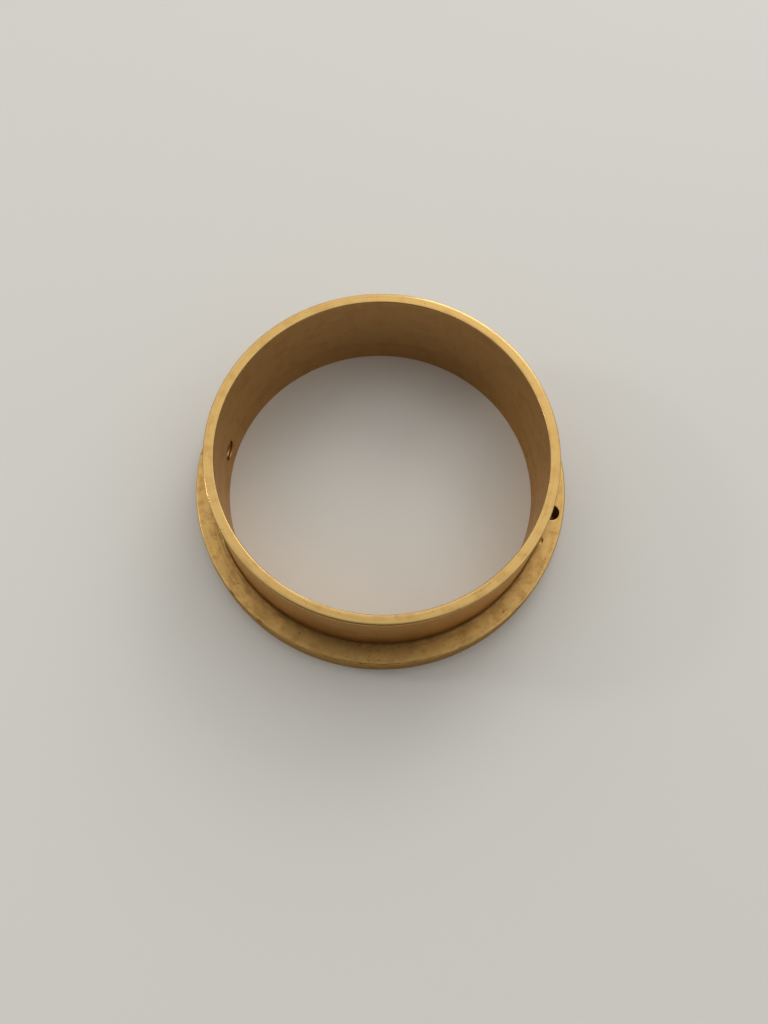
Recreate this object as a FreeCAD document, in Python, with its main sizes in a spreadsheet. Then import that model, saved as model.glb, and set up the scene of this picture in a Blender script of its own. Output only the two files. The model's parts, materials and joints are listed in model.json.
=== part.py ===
"""Flanged brass pipe collar: a thin sleeve with a ring flange brazed round its foot, a headless
set screw that locks it on the pipe inside, and a locating hole down through the flange.

Frame: origin at the centre of the flange's underside, +Z up the bore. The set screw lies on -X
and the locating hole on +X. All sizes are in millimetres."""
import FreeCAD, Part
import Sketcher
import os

doc = FreeCAD.newDocument("flanged_pipe_collar")

# ---------------------------------------------------------------- driving dimensions
SIZES = [
    # alias, value, meaning
    ("bore_radius", 35.0, "inside of the sleeve, for a 70 mm pipe"),
    ("sleeve_radius", 37.25, "outside of the sleeve"),
    ("sleeve_height", 24.5, "from the flange's underside to the rim"),
    ("sleeve_chamfer", 0.3, "broken edges of the rim and of the bore's foot"),
    ("flange_radius", 41.8, "outside of the flange"),
    ("flange_thickness", 6.0, "height of the flange ring"),
    ("flange_edge", 0.4, "rounding of the flange's outer edges"),
    ("braze_leg", 1.0, "reach of the brazed seam up the sleeve and along the flange"),
    ("screw_hole_height", 7.5, "height of the set screw's hole"),
    ("screw_hole_radius", 2.30, "radius of that hole, at the M5 thread's pitch line"),
    ("pin_hole_radius", 1.85, "radius of the locating hole"),
    ("pin_hole_place", 38.95, "distance of the locating hole from the bore's axis"),
    ("screw_radius", 2.24, "radius of the set screw, at the M5 thread's pitch line"),
    ("screw_inner_end", 36.2, "distance of the screw's point from the bore's axis at rest"),
    ("screw_outer_end", 40.2, "distance of the screw's slotted end from the bore's axis"),
    ("screw_point_radius", 1.75, "flat of the screw's point"),
    ("screw_end_chamfer", 0.3, "chamfer of the screw's slotted end"),
    ("slot_width", 0.8, "screwdriver slot"),
    ("slot_depth", 1.4, "screwdriver slot"),
]

sheet = doc.addObject("Spreadsheet::Sheet", "Sizes")
for row, (alias, size, meaning) in enumerate(SIZES, start=1):
    sheet.set(f"A{row}", alias)
    sheet.set(f"B{row}", str(size))
    sheet.set(f"C{row}", meaning)
    sheet.setAlias(f"B{row}", alias)
doc.recompute()


# ---------------------------------------------------------------- sketches and features
def value(expression):
    """What an expression of sheet values comes to, to start a sketch on its solution."""
    return float(sheet.evalExpression(expression))


def new_body(name):
    body = doc.addObject("PartDesign::Body", name)
    body.Label = name
    body.Placement = FreeCAD.Placement()
    return body


def sketch_on(body, name, role):
    """A sketch on one of the body's own origin planes."""
    plane = next(f for f in body.Origin.OriginFeatures if f.Role == role)
    sketch = body.newObject("Sketcher::SketchObject", name)
    sketch.AttachmentSupport = [(plane, "")]
    sketch.MapMode = "FlatFace"
    return sketch


def place_point(sketch, geometry, point, place):
    """Hold a point of the sketch at a place, given as two expressions from the origin."""
    for kind, across, expression in zip(("DistanceX", "DistanceY"), (-2, -1), place):
        distance = value(expression)
        if distance == 0:
            sketch.addConstraint(
                Sketcher.Constraint("PointOnObject", geometry, point, across))
            continue
        index = sketch.addConstraint(
            Sketcher.Constraint(kind, -1, 1, geometry, point, distance))
        sketch.setExpression(f"Constraints[{index}]", expression)


def closed_outline(sketch, corners):
    """Straight edges through the corners, each corner given as two expressions."""
    points = [FreeCAD.Vector(value(x), value(y), 0) for x, y in corners]
    following = points[1:] + points[:1]
    for here, there in zip(points, following):
        sketch.addGeometry(Part.LineSegment(here, there), False)
    for i in range(len(corners)):
        sketch.addConstraint(
            Sketcher.Constraint("Coincident", i, 2, (i + 1) % len(corners), 1))
    for i, corner in enumerate(corners):
        place_point(sketch, i, 1, corner)


def turn_ring(body, sketch):
    """Revolve a section about the bore's axis."""
    ring = body.newObject("PartDesign::Revolution", f"{body.Name}_ring")
    ring.Profile = sketch
    ring.ReferenceAxis = (sketch, ["V_Axis"])
    ring.Angle = 360
    doc.recompute()


def break_edges(body, kind, size_property, size_alias, places):
    """A Chamfer or Fillet on the body's circular edges at the given (radius, height) places."""
    base, edges = body.Tip, []
    for number, edge in enumerate(base.Shape.Edges, start=1):
        if not isinstance(edge.Curve, Part.Circle):
            continue
        radius, height = edge.Curve.Radius, edge.Curve.Center.z
        if any(abs(radius - r) < 1e-6 and abs(height - z) < 1e-6 for r, z in places):
            edges.append(f"Edge{number}")
    feature = body.newObject(f"PartDesign::{kind}", f"{body.Name}_{kind}")
    feature.Base = (base, edges)
    feature.setExpression(size_property, f"Sizes.{size_alias}")
    doc.recompute()


def pocket(body, sketch, name, against_normal, depth=None):
    """Cut the sketch's outline out of the body: through all, or as deep as an expression."""
    before = body.Tip.Shape.Volume
    cut = body.newObject("PartDesign::Pocket", f"{body.Name}_{name}")
    cut.Profile = sketch
    cut.Reversed = not against_normal
    cut.Type = "Length" if depth else "ThroughAll"
    if depth:
        cut.setExpression("Length", depth)
    doc.recompute()
    if body.Tip.Shape.Volume >= before:
        raise RuntimeError(f"{body.Label}: {name} cut nothing")


def round_hole(body, name, role, centre, radius, against_normal, depth=None):
    """A drilled hole that starts from one of the body's origin planes."""
    sketch = sketch_on(body, f"{body.Name}_{name}_circle", role)
    start = FreeCAD.Vector(value(centre[0]), value(centre[1]), 0)
    sketch.addGeometry(Part.Circle(start, FreeCAD.Vector(0, 0, 1), value(radius)), False)
    place_point(sketch, 0, 3, centre)
    index = sketch.addConstraint(Sketcher.Constraint("Radius", 0, value(radius)))
    sketch.setExpression(f"Constraints[{index}]", radius)
    pocket(body, sketch, name, against_normal, depth)


def drill_screw_hole(body):
    """The set screw's hole, level and radial on the -X side. It grazes the flange's top face."""
    round_hole(body, "screw_hole", "YZ_Plane", ("0", "Sizes.screw_hole_height"),
               "Sizes.screw_hole_radius", against_normal=True)


def drill_pin_hole(body):
    """The locating hole, drilled up from below through the flange and the seam on the +X side.
    It nicks the sleeve's foot."""
    round_hole(body, "pin_hole", "XY_Plane", ("Sizes.pin_hole_place", "0"),
               "Sizes.pin_hole_radius", against_normal=False,
               depth="Sizes.flange_thickness + Sizes.braze_leg")


# ---------------------------------------------------------------- sleeve
def make_sleeve():
    """Full-height tube, turned inside and outside."""
    body = new_body("sleeve")
    section = sketch_on(body, "sleeve_section", "XZ_Plane")
    closed_outline(section, [
        ("Sizes.bore_radius", "0"),
        ("Sizes.sleeve_radius", "0"),
        ("Sizes.sleeve_radius", "Sizes.sleeve_height"),
        ("Sizes.bore_radius", "Sizes.sleeve_height"),
    ])
    turn_ring(body, section)
    bore, outside = value("Sizes.bore_radius"), value("Sizes.sleeve_radius")
    rim = value("Sizes.sleeve_height")
    break_edges(body, "Chamfer", "Size", "sleeve_chamfer", [(bore, rim), (outside, rim), (bore, 0)])
    drill_screw_hole(body)
    drill_pin_hole(body)
    return body


# ---------------------------------------------------------------- flange
def make_flange():
    """Ring that is slipped over the sleeve's foot and brazed there."""
    body = new_body("flange")
    section = sketch_on(body, "flange_section", "XZ_Plane")
    closed_outline(section, [
        ("Sizes.sleeve_radius", "0"),
        ("Sizes.flange_radius", "0"),
        ("Sizes.flange_radius", "Sizes.flange_thickness"),
        ("Sizes.sleeve_radius", "Sizes.flange_thickness"),
    ])
    turn_ring(body, section)
    outside, top = value("Sizes.flange_radius"), value("Sizes.flange_thickness")
    break_edges(body, "Fillet", "Radius", "flange_edge", [(outside, 0), (outside, top)])
    drill_screw_hole(body)
    drill_pin_hole(body)
    return body


# ---------------------------------------------------------------- brazed seam
def make_braze_fillet():
    """Filler metal run round the corner between the sleeve and the flange's top face. The two
    holes break through it, so it is left as two arcs."""
    body = new_body("braze_fillet")
    section = sketch_on(body, "seam_section", "XZ_Plane")
    closed_outline(section, [
        ("Sizes.sleeve_radius", "Sizes.flange_thickness"),
        ("Sizes.sleeve_radius + Sizes.braze_leg", "Sizes.flange_thickness"),
        ("Sizes.sleeve_radius", "Sizes.flange_thickness + Sizes.braze_leg"),
    ])
    turn_ring(body, section)
    drill_screw_hole(body)
    drill_pin_hole(body)
    return body


# ---------------------------------------------------------------- set screw
def make_set_screw():
    """Headless M5 set screw with a flat point and a screwdriver slot, as a smooth cylinder. It
    is turned along +X and then lifted and swung round into its hole on -X."""
    body = new_body("set_screw")
    outline = sketch_on(body, "set_screw_outline", "XZ_Plane")
    point_chamfer = "(Sizes.screw_radius - Sizes.screw_point_radius)"
    closed_outline(outline, [
        ("Sizes.screw_inner_end", "0"),
        ("Sizes.screw_outer_end", "0"),
        ("Sizes.screw_outer_end", "Sizes.screw_radius - Sizes.screw_end_chamfer"),
        ("Sizes.screw_outer_end - Sizes.screw_end_chamfer", "Sizes.screw_radius"),
        (f"Sizes.screw_inner_end + {point_chamfer}", "Sizes.screw_radius"),
        ("Sizes.screw_inner_end", "Sizes.screw_point_radius"),
    ])
    shank = body.newObject("PartDesign::Revolution", "set_screw_shank")
    shank.Profile = outline
    shank.ReferenceAxis = (outline, ["H_Axis"])
    shank.Angle = 360
    doc.recompute()

    slot = sketch_on(body, "set_screw_slot", "YZ_Plane")
    slot.setExpression("AttachmentOffset.Base.z", "Sizes.screw_outer_end")
    closed_outline(slot, [
        ("-Sizes.screw_radius", "-Sizes.slot_width / 2"),
        ("Sizes.screw_radius", "-Sizes.slot_width / 2"),
        ("Sizes.screw_radius", "Sizes.slot_width / 2"),
        ("-Sizes.screw_radius", "Sizes.slot_width / 2"),
    ])
    pocket(body, slot, "slot_cut", against_normal=True, depth="Sizes.slot_depth")
    body.Placement = FreeCAD.Placement(
        FreeCAD.Vector(0, 0, value("Sizes.screw_hole_height")),
        FreeCAD.Rotation(FreeCAD.Vector(0, 0, 1), 180))
    return body


# ---------------------------------------------------------------- build, check and write
parts = {
    make_sleeve(): 1,
    make_flange(): 1,
    make_braze_fillet(): 2,
    make_set_screw(): 1,
}
doc.recompute()

for item in doc.Objects:
    if {"Invalid", "Error"} & set(item.State):
        raise RuntimeError(f"{item.Label} did not compute: {item.State}")
for part, solids in parts.items():
    shape = part.Shape
    if shape.isNull() or not shape.isValid() or len(shape.Solids) != solids:
        raise RuntimeError(f"{part.Label} is null, invalid or in the wrong number of solids")

os.makedirs("parts", exist_ok=True)
for part in parts:
    part.Shape.exportStep(f"parts/{part.Label}.step")
    print(f"{part.Label}: {part.Shape.Volume:.1f} mm3")
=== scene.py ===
import json
import math
import bmesh
import bpy
from mathutils import Matrix, Vector


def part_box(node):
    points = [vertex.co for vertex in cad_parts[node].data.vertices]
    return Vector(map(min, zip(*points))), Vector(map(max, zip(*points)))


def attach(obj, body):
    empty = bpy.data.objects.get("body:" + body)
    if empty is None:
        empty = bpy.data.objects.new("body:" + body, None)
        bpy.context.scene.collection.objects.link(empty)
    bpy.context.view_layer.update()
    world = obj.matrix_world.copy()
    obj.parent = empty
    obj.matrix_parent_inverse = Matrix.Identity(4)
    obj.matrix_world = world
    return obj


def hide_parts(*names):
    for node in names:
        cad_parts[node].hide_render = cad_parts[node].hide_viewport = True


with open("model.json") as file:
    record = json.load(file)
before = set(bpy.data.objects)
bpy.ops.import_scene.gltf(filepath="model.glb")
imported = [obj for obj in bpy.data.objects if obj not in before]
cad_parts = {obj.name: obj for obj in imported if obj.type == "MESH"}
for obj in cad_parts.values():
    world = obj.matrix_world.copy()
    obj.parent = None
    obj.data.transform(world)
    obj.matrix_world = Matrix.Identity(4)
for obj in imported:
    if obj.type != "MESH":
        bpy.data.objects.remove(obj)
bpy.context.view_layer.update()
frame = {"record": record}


# ------------------------------------------------------------------ camera
# A hand-held view from above the front of the ring, looking down into the bore.
# It is turned a little about the bore's axis, so the two holes run slightly off level.
MM = 0.001
bpy.ops.object.camera_add()
camera = bpy.context.object
camera.name = "camera"
camera.data.lens = 32.34
camera.data.sensor_width = 36
heading, tilt, roll = (Matrix.Rotation(math.radians(angle), 4, axis)
                       for angle, axis in ((8.0, "Z"), (18.89, "X"), (3.02, "Z")))
viewpoint = Matrix.Translation(Vector((11.35, -73.33, 201.18)) * MM)
camera.matrix_world = viewpoint @ heading @ tilt @ roll
camera.data.clip_start = 0.01
bpy.context.scene.camera = camera


# ------------------------------------------------------------------ table top
# A plain matt white surface, much larger than the ring that lies on it. It is only there to
# carry the ring, and to throw pale light back up at its walls.
bpy.ops.mesh.primitive_plane_add(size=8, location=(0, 0, 0))
table = bpy.context.object
table.name = "table_top"
paper_white = bpy.data.materials.new("matt_white")
paper_white.use_nodes = True
paper = paper_white.node_tree.nodes["Principled BSDF"]
paper.inputs["Base Color"].default_value = (0.76, 0.75, 0.71, 1)
paper.inputs["Roughness"].default_value = 0.8
paper.inputs["Specular IOR Level"].default_value = 0.2
table.data.materials.append(paper_white)


# ------------------------------------------------------------------ light
# A pale room, brightest overhead and towards the back, with a soft window there and a small lamp
# at the left that glints on polished edges. The viewer's side is dimmer, and whoever leans over
# the ring shades a patch of it.
def towards(azimuth, elevation):
    """The unit vector that points in a direction given in degrees."""
    turn, lift = math.radians(azimuth), math.radians(elevation)
    level = Vector((math.cos(turn), math.sin(turn), 0)) * math.cos(lift)
    return level + Vector((0, 0, math.sin(lift)))


dim_room, bright_room = 0.17, 1.12
room = bpy.data.worlds.new("room")
room.use_nodes = True
nodes, links = room.node_tree.nodes, room.node_tree.links
sky = nodes.new("ShaderNodeTexCoord")


def sky_patch(direction, edge, middle, at_edge, at_middle):
    """A number that changes smoothly from the edge of a round patch of sky to its middle. Both
    are given as angles from the patch's own direction."""
    facing = nodes.new("ShaderNodeVectorMath")
    facing.operation = "DOT_PRODUCT"
    facing.inputs[1].default_value = direction
    links.new(sky.outputs["Generated"], facing.inputs[0])
    ramp = nodes.new("ShaderNodeMapRange")
    ramp.interpolation_type = "SMOOTHSTEP"
    cosines = (math.cos(math.radians(edge)), math.cos(math.radians(middle)))
    for socket, number in zip(ramp.inputs[1:5], (*cosines, at_edge, at_middle)):
        socket.default_value = number
    links.new(facing.outputs["Value"], ramp.inputs["Value"])
    return ramp.outputs["Result"]


ceiling = sky_patch(towards(azimuth=92, elevation=60), 95, 15, dim_room, bright_room)
leaning_over = sky_patch(towards(azimuth=-95, elevation=70), 36, 14, 1.0, 0.15)
brightness = nodes.new("ShaderNodeMath")
brightness.operation = "MULTIPLY"
links.new(ceiling, brightness.inputs[0])
links.new(leaning_over, brightness.inputs[1])
background = nodes["Background"]
background.inputs["Color"].default_value = (1.0, 0.985, 0.955, 1)
links.new(brightness.outputs["Value"], background.inputs["Strength"])
bpy.context.scene.world = room
bpy.context.scene.view_settings.view_transform = "Standard"

light_distance = 0.6
for name, side, size, energy in (("window", towards(azimuth=76, elevation=35), 0.28, 0.65),
                                 ("lamp", towards(azimuth=181, elevation=30), 0.07, 0.30)):
    bpy.ops.object.light_add(type="AREA", location=side * light_distance)
    light = bpy.context.object
    light.name = name
    light.rotation_euler = side.to_track_quat("Z", "Y").to_euler()
    light.data.shape = "SQUARE"
    light.data.size = size
    light.data.energy = energy


# ------------------------------------------------------------------ sleeve
# The thin turned tube that the pipe passes through. It is cast brass, turned inside and out to
# a fine satin finish, faced at the rim and broken at its edges, and tapped for the set screw.
mounts = {mount["name"]: mount for mount in frame["record"]["mounts"]}
bore_radius = mounts["bore"]["dims"]["r_mm"] * MM
sleeve_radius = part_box("sleeve")[1][0]
sleeve_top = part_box("sleeve")[1][2]
flange_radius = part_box("flange")[1][0]
flange_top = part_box("flange")[1][2]
seam_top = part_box("braze_fillet")[1][2]
screw_low, screw_high = (Vector(corner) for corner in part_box("set_screw"))
screw_height = (screw_low.z + screw_high.z) / 2
screw_radius = (screw_high.z - screw_low.z) / 2
thread_pitch = 0.8 * MM


def start(primitive, name, **settings):
    """Add a primitive with nothing else selected, and name it."""
    bpy.ops.object.select_all(action="DESELECT")
    primitive(**settings)
    piece = bpy.context.object
    piece.name = piece.data.name = name
    return piece


def ring_section(name, inside, outside, foot, top):
    """A rectangle in the XZ plane, left in edit mode, for a ring to be turned from."""
    middle = ((inside + outside) / 2, 0, (foot + top) / 2)
    ring = start(bpy.ops.mesh.primitive_plane_add, name, size=1, location=middle,
                 rotation=(math.pi / 2, 0, 0))
    ring.scale = (outside - inside, top - foot, 1)
    bpy.ops.object.transform_apply()
    bpy.ops.object.mode_set(mode="EDIT")
    return ring


def turn(ring, longest_edge=0.8 * MM, steps=360):
    """Cut the outline of the section into short edges and spin it about the bore's axis."""
    same_place = 0.001 * MM
    bpy.ops.mesh.select_all(action="SELECT")
    bpy.ops.mesh.delete(type="ONLY_FACE")
    bpy.ops.mesh.select_mode(type="EDGE")
    edges = bmesh.from_edit_mesh(ring.data).edges
    while any(edge.calc_length() > longest_edge for edge in edges):
        for edge in edges:
            edge.select_set(edge.calc_length() > longest_edge)
        bpy.ops.mesh.subdivide(number_cuts=1)
        edges = bmesh.from_edit_mesh(ring.data).edges
    bpy.ops.mesh.select_all(action="SELECT")
    bpy.ops.mesh.spin(steps=steps, angle=math.tau, center=(0, 0, 0), axis=(0, 0, 1))
    bpy.ops.mesh.select_all(action="SELECT")
    bpy.ops.mesh.remove_doubles(threshold=same_place)
    bpy.ops.mesh.normals_make_consistent(inside=False)
    bpy.ops.object.mode_set(mode="OBJECT")


def threaded_rod(name, tip, head, crest, root, end_chamfer):
    """A right-hand threaded rod on the set screw's axis, from x = tip outwards to x = head."""
    length = abs(head - tip)
    rings_per_turn = 10
    rod = start(bpy.ops.mesh.primitive_cylinder_add, name, vertices=72, radius=crest, depth=length,
                location=((tip + head) / 2, 0, screw_height), rotation=(0, math.pi / 2, 0))
    bpy.ops.object.transform_apply()
    bpy.ops.object.mode_set(mode="EDIT")
    bpy.ops.mesh.select_mode(type="EDGE")
    for edge in bmesh.from_edit_mesh(rod.data).edges:
        edge.select_set(edge.calc_length() > 0.9 * length)
    bpy.ops.mesh.subdivide(number_cuts=round(length / thread_pitch * rings_per_turn))
    bpy.ops.object.mode_set(mode="OBJECT")
    for vertex in rod.data.vertices:
        place = vertex.co
        swing = math.atan2(place.y, place.z - screw_height)
        phase = (place.x / thread_pitch + swing / math.tau) % 1
        depth = (crest - root) * min(1, max(0, 1.5 - abs(4 * phase - 2)))
        from_end = min(abs(place.x - tip), abs(place.x - head))
        radius = min(crest - depth, crest - end_chamfer + from_end)
        place.y = radius * math.sin(swing)
        place.z = screw_height + radius * math.cos(swing)
    return rod


def cut(piece, cutter):
    """Take the cutter's shape out of the piece. The cutter stays for the next piece."""
    bpy.ops.object.select_all(action="DESELECT")
    bpy.context.view_layer.objects.active = piece
    piece.select_set(True)
    saw = piece.modifiers.new("cut", "BOOLEAN")
    saw.operation = "DIFFERENCE"
    saw.solver = "EXACT"
    saw.object = cutter
    bpy.ops.object.modifier_apply(modifier=saw.name)


def finish_edges(piece, width, smooth_angle=38):
    """Deburr the sharp edges that the cutters left, and shade the piece."""
    bpy.ops.object.select_all(action="DESELECT")
    bpy.context.view_layer.objects.active = piece
    piece.select_set(True)
    deburr = piece.modifiers.new("deburr", "BEVEL")
    deburr.width = width
    deburr.segments = 2
    deburr.limit_method = "ANGLE"
    deburr.angle_limit = math.radians(55)
    bpy.ops.object.modifier_apply(modifier=deburr.name)
    bpy.ops.object.shade_smooth_by_angle(angle=math.radians(smooth_angle))


def brass(name, clean, tarnished, roughness, blotch_size, blotch_amount, pit_amount,
          line_depth, wall=None, faced_top=None, corner=None, worn_edge=None):
    """Turned brass: lathe lines round the bore's axis, blotches of tarnish and pits. Where a
    faced top is given, upright walls below it have the wall colour. A corner, given as (radius,
    height, reach, amount), has a brown darkening round it, partly oxide and partly painted shade.
    A worn edge, given as (radius, height, reach, polish, cleaning), is smoother than the rest and
    rubbed clean in places."""
    material = bpy.data.materials.new(name)
    material.use_nodes = True
    nodes, links = material.node_tree.nodes, material.node_tree.links
    skin = nodes["Principled BSDF"]
    skin.inputs["Metallic"].default_value = 1
    skin.inputs["Specular Tint"].default_value = (1.0, 0.84, 0.62, 1)

    def fill(step, inputs):
        """Link or set a node's inputs in order, and return its outputs."""
        for socket, given in zip(step.inputs, inputs):
            if isinstance(given, bpy.types.NodeSocket):
                links.new(given, socket)
            else:
                socket.default_value = given
        return step.outputs

    def vector_math(operation, *inputs):
        step = nodes.new("ShaderNodeVectorMath")
        step.operation = operation
        return fill(step, inputs)

    def scalar_math(operation, *inputs):
        step = nodes.new("ShaderNodeMath")
        step.operation = operation
        return fill(step, inputs)["Value"]

    def noise(vector, scale, detail=4.0, rough=0.6):
        step = nodes.new("ShaderNodeTexNoise")
        step.inputs["Scale"].default_value = scale
        step.inputs["Detail"].default_value = detail
        step.inputs["Roughness"].default_value = rough
        links.new(vector, step.inputs["Vector"])
        return step.outputs["Fac"]

    def spread(source, low, high, to_low=0.0, to_high=1.0):
        """Stretch the span from low to high of a number smoothly over to_low to to_high."""
        step = nodes.new("ShaderNodeMapRange")
        step.interpolation_type = "SMOOTHSTEP"
        for socket, number in zip(step.inputs[1:5], (low, high, to_low, to_high)):
            socket.default_value = number
        links.new(source, step.inputs["Value"])
        return step.outputs["Result"]

    def blend(amount, first, second):
        step = nodes.new("ShaderNodeMix")
        step.data_type = "RGBA"
        links.new(amount, step.inputs["Factor"])
        for socket, given in zip(step.inputs[6:8], (first, second)):
            if isinstance(given, tuple):
                socket.default_value = (*given, 1)
            else:
                links.new(given, socket)
        return step.outputs[2]

    def from_ring(ring_radius, ring_height):
        """The distance from a circle round the bore's axis."""
        aside = scalar_math("SUBTRACT", radius, ring_radius)
        above = scalar_math("SUBTRACT", height, ring_height)
        aside = scalar_math("MULTIPLY", aside, aside)
        above = scalar_math("MULTIPLY", above, above)
        return scalar_math("SQRT", scalar_math("ADD", aside, above))

    place = nodes.new("ShaderNodeTexCoord").outputs["Object"]
    flat = vector_math("MULTIPLY", place, (1, 1, 0))["Vector"]
    radius = vector_math("LENGTH", flat)["Value"]
    direction = vector_math("NORMALIZE", flat)["Vector"]
    parts = nodes.new("ShaderNodeSeparateXYZ")
    links.new(place, parts.inputs["Vector"])
    height = parts.outputs["Z"]

    lines_per_metre, breaks_around = 3000.0, 2.5
    across = scalar_math("MULTIPLY", scalar_math("ADD", radius, height), lines_per_metre)
    lifted = nodes.new("ShaderNodeCombineXYZ")
    links.new(across, lifted.inputs["Z"])
    around = vector_math("MULTIPLY", direction, (breaks_around,) * 3)["Vector"]
    lathe = vector_math("ADD", around, lifted.outputs["Vector"])["Vector"]
    lines = noise(lathe, scale=1.0, detail=5.0, rough=0.7)

    pit_size = blotch_size / 3.2
    streak_tint = 0.22
    blotches = spread(noise(place, 1 / blotch_size, 5.0, 0.65), 0.42, 0.66)
    pits = spread(noise(place, 1 / pit_size, 2.0, 0.5), 0.66, 0.76)
    tint = scalar_math("MULTIPLY", blotches, blotch_amount)
    tint = scalar_math("ADD", tint, spread(lines, 0.3, 0.75, -streak_tint, streak_tint))
    colour, dulling = clean, roughness
    if faced_top:
        wall_dulling = 0.08
        below = spread(height, faced_top - 0.04 * MM, faced_top - 0.22 * MM)
        above_foot = spread(height, 0.05 * MM, 0.30 * MM)
        on_wall = scalar_math("MULTIPLY", below, above_foot)
        colour = blend(on_wall, clean, wall)
        dulling = scalar_math("ADD", scalar_math("MULTIPLY", on_wall, wall_dulling), roughness)
    colour = blend(tint, colour, tarnished)
    pit_brown = (0.10, 0.055, 0.018)
    colour = blend(scalar_math("MULTIPLY", pits, pit_amount), colour, pit_brown)
    # Painted corner shade, partly oxide: a brown darkening that fades out with distance from the
    # corner.
    if corner:
        oxide_and_shade_brown = (0.20, 0.095, 0.03)
        ring_radius, ring_height, reach, amount = corner
        oxide_and_shade = spread(from_ring(ring_radius, ring_height), 0.0, reach, amount, 0.0)
        colour = blend(oxide_and_shade, colour, oxide_and_shade_brown)
    if worn_edge:
        ring_radius, ring_height, reach, polish, cleaning = worn_edge
        worn = spread(from_ring(ring_radius, ring_height), 0.4 * reach, reach, 1.0, 0.0)
        patches = spread(noise(place, 0.5 / blotch_size), 0.42, 0.58)
        rubbed = scalar_math("MULTIPLY", worn, patches)
        colour = blend(scalar_math("MULTIPLY", rubbed, cleaning), colour, clean)
        dulling = scalar_math("SUBTRACT", dulling, scalar_math("MULTIPLY", worn, polish))
    links.new(colour, skin.inputs["Base Color"])

    dulling = scalar_math("ADD", spread(lines, 0.25, 0.8, -0.05, 0.07), dulling)
    dulling = scalar_math("ADD", dulling, scalar_math("MULTIPLY", blotches, 0.10))
    links.new(dulling, skin.inputs["Roughness"])

    relief = scalar_math("SUBTRACT", lines, scalar_math("MULTIPLY", pits, 2.0 * pit_amount))
    if worn_edge:
        relief = scalar_math("MULTIPLY", relief, spread(worn, 0.0, 1.0, 1.0, 0.2))
    bump = nodes.new("ShaderNodeBump")
    bump.inputs["Strength"].default_value = 1.0
    bump.inputs["Distance"].default_value = line_depth
    links.new(relief, bump.inputs["Height"])
    links.new(bump.outputs["Normal"], skin.inputs["Normal"])
    return material


sleeve = ring_section("turned_sleeve", bore_radius, sleeve_radius, 0, sleeve_top)
rim_rounding = 0.28 * MM
bpy.ops.mesh.bevel(offset=rim_rounding, segments=4, affect="VERTICES")
turn(sleeve)
overrun = 1.5 * MM
thread_clearance, thread_depth = 0.06 * MM, 0.18 * MM
hole_radius = screw_radius + thread_clearance
tap = threaded_rod("tap", -(bore_radius - overrun), -(flange_radius + overrun),
                   crest=hole_radius + thread_depth, root=hole_radius, end_chamfer=0)
pin_mount = mounts["pin_hole"]
pin_radius = pin_mount["dims"]["r_mm"] * MM
drill = start(bpy.ops.mesh.primitive_cylinder_add, "drill", vertices=64, radius=pin_radius,
              depth=2 * seam_top, location=(pin_mount["pos_m"][0], 0, 0))
bpy.ops.object.transform_apply()
for cutter in (tap, drill):
    cut(sleeve, cutter)
finish_edges(sleeve, width=0.06 * MM)
sleeve.data.materials.clear()
sleeve.data.materials.append(brass(
    "fine_turned_brass", clean=(0.60, 0.392, 0.140), tarnished=(0.42, 0.22, 0.075), roughness=0.25,
    blotch_size=4 * MM, blotch_amount=0.36, pit_amount=0.25, line_depth=0.004 * MM,
    wall=(0.52, 0.31, 0.125), faced_top=sleeve_top,
    # corner: painted shade, partly oxide, darkening the sleeve's wall down to the flange
    corner=(sleeve_radius, flange_top, 3 * MM, 0.6),
    worn_edge=(sleeve_radius, sleeve_top, 0.5 * MM, 0.17, 0.0)))
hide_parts("sleeve")
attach(sleeve, "collar")


# ------------------------------------------------------------------ flange
# The ring round the sleeve's foot, cast brass and coarsely faced. Its edge has been knocked in
# use, its top is mottled and pitted, and the locating hole goes down through it.
flange = ring_section("flange_ring", sleeve_radius, flange_radius, 0, flange_top)
flange_rounding = 0.35 * MM
bpy.ops.mesh.bevel(offset=flange_rounding, segments=4, affect="VERTICES")
turn(flange)
sound_foot, sound_joint = 1.5 * MM, 0.4 * MM
weathered = flange.vertex_groups.new(name="weathered")
outer_skin = [v.index for v in flange.data.vertices
              if v.co.z > sound_foot and v.co.xy.length > sleeve_radius + sound_joint]
weathered.add(outer_skin, 1.0, "REPLACE")
lumps = bpy.data.textures.new("lumps", "CLOUDS")
lumps.noise_scale = 3.0 * MM
lumps.noise_depth = 2
wear = flange.modifiers.new("wear", "DISPLACE")
wear.texture = lumps
wear.texture_coords = "LOCAL"
wear.vertex_group = weathered.name
wear.strength = 0.16 * MM
wear.mid_level = 0.55
bpy.ops.object.modifier_apply(modifier=wear.name)


def dent(name, azimuth, distance, height, size):
    """An egg-shaped cutter, lying along the ring, that leaves a dent."""
    centre = towards(azimuth, 0) * distance + Vector((0, 0, height))
    cutter = start(bpy.ops.mesh.primitive_ico_sphere_add, name, subdivisions=3, radius=size,
                   location=centre, rotation=(0, 0, math.radians(azimuth)), scale=(0.8, 1.5, 0.9))
    bpy.ops.object.transform_apply()
    return cutter


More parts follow.
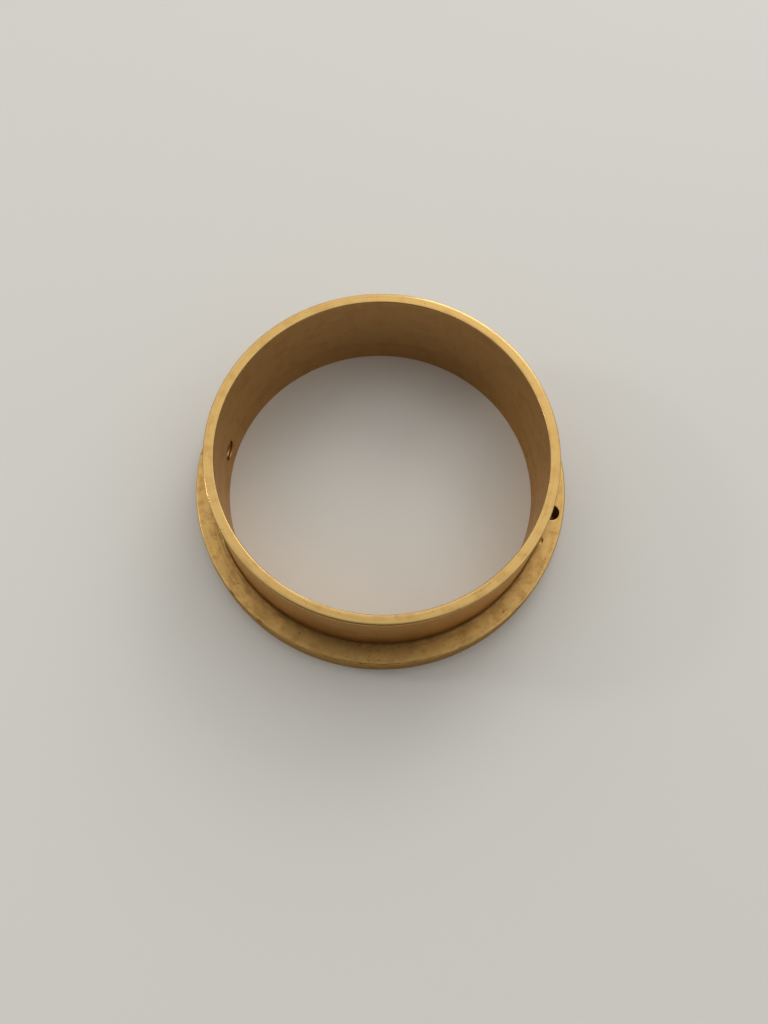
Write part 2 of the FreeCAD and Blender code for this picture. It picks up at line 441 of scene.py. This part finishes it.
pore = dent("pore", -10.5, distance=38.35 * MM, height=6.4 * MM, size=0.66 * MM)
nick_sizes = {-130: 0.95, -124: 0.80, -118: 1.00, -104: 0.85, -95: 0.60, -62: 0.65,
              -52: 0.65, 0: 0.45, 24: 0.45, 97: 0.55, 151: 0.45}
nicks = [dent(f"nick_{azimuth}", azimuth, distance=flange_radius + 0.32 * MM,
              height=flange_top + 0.18 * MM, size=size * MM)
         for azimuth, size in nick_sizes.items()]
screw_drill = start(bpy.ops.mesh.primitive_cylinder_add, "screw_drill", vertices=64,
                    radius=hole_radius, depth=flange_radius, rotation=(0, math.pi / 2, 0),
                    location=(-flange_radius, 0, screw_height))
bpy.ops.object.transform_apply()
for cutter in (screw_drill, drill, pore, *nicks):
    cut(flange, cutter)
finish_edges(flange, width=0.07 * MM)
flange.data.materials.clear()
flange.data.materials.append(brass(
    "coarse_faced_brass", clean=(0.60, 0.38, 0.133), tarnished=(0.42, 0.24, 0.075), roughness=0.37,
    blotch_size=1.8 * MM, blotch_amount=0.55, pit_amount=0.7, line_depth=0.010 * MM,
    wall=(0.41, 0.225, 0.055), faced_top=flange_top,
    # corner: painted shade, partly oxide, darkening the flange's top beside the sleeve
    corner=(sleeve_radius, flange_top, 2.8 * MM, 0.5),
    worn_edge=(flange_radius, flange_top, 0.7 * MM, 0.08, 0.6)))
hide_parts("flange")
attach(flange, "collar")


# ------------------------------------------------------------------ brazed seam
# Filler metal that was run round the corner between the sleeve and the flange. It has set in a
# hollow, uneven fillet, duller and browner than the turned faces.
seam_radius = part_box("braze_fillet")[1][0]
sunk = 0.05 * MM
seam = ring_section("seam_fillet", sleeve_radius - sunk, seam_radius, flange_top - sunk, seam_top)
bpy.ops.mesh.select_mode(type="VERT")
corners = bmesh.from_edit_mesh(seam.data).verts
outermost = max(corners, key=lambda v: v.co.x + v.co.z)
for corner in corners:
    corner.select_set(corner is outermost)
bpy.ops.mesh.bevel(offset=0.97 * (seam_radius - sleeve_radius), segments=8, profile=0.07,
                   affect="VERTICES")
turn(seam, longest_edge=0.3 * MM)
ripple = bpy.data.textures.new("ripple", "CLOUDS")
ripple.noise_scale = 1.8 * MM
uneven = seam.modifiers.new("uneven", "DISPLACE")
uneven.texture = ripple
uneven.texture_coords = "LOCAL"
uneven.strength = 0.18 * MM
uneven.mid_level = 0.6
bpy.ops.object.modifier_apply(modifier=uneven.name)
for cutter in (screw_drill, drill, pore):
    cut(seam, cutter)
finish_edges(seam, width=0.03 * MM, smooth_angle=60)
seam.data.materials.clear()
seam.data.materials.append(brass(
    "brazing_brass", clean=(0.47, 0.285, 0.095), tarnished=(0.27, 0.145, 0.05), roughness=0.40,
    blotch_size=2.0 * MM, blotch_amount=0.8, pit_amount=0.8, line_depth=0.006 * MM,
    # corner: painted shade, partly oxide, darkening the fillet towards the root
    corner=(sleeve_radius, flange_top, 1.6 * MM, 0.7)))
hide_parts("braze_fillet")
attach(seam, "collar")


# ------------------------------------------------------------------ set screw
# The headless M5 screw that locks the sleeve on the pipe, turned in brass with a rolled thread,
# a flat point and a sawn screwdriver slot. It stands a little proud of the sleeve.
screw_thread_depth, screw_chamfer = 0.36 * MM, 0.42 * MM
slot_width, slot_depth = 0.8 * MM, 1.4 * MM
set_screw = threaded_rod("slotted_set_screw", screw_high.x, screw_low.x, crest=screw_radius,
                         root=screw_radius - screw_thread_depth, end_chamfer=screw_chamfer)
saw_blade = start(bpy.ops.mesh.primitive_cube_add, "saw_blade", size=1,
                  location=(screw_low.x, 0, screw_height))
saw_blade.scale = (2 * slot_depth, 3 * screw_radius, slot_width)
bpy.ops.object.transform_apply()
cut(set_screw, saw_blade)
finish_edges(set_screw, width=0.03 * MM, smooth_angle=30)
set_screw.data.materials.clear()
set_screw.data.materials.append(brass(
    "screw_brass", clean=(0.64, 0.42, 0.15), tarnished=(0.40, 0.22, 0.07), roughness=0.30,
    blotch_size=1.5 * MM, blotch_amount=0.5, pit_amount=0.3, line_depth=0.002 * MM))
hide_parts("set_screw")
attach(set_screw, "set_screw")

for cutter in (tap, drill, screw_drill, saw_blade, pore, *nicks):
    bpy.data.objects.remove(cutter)
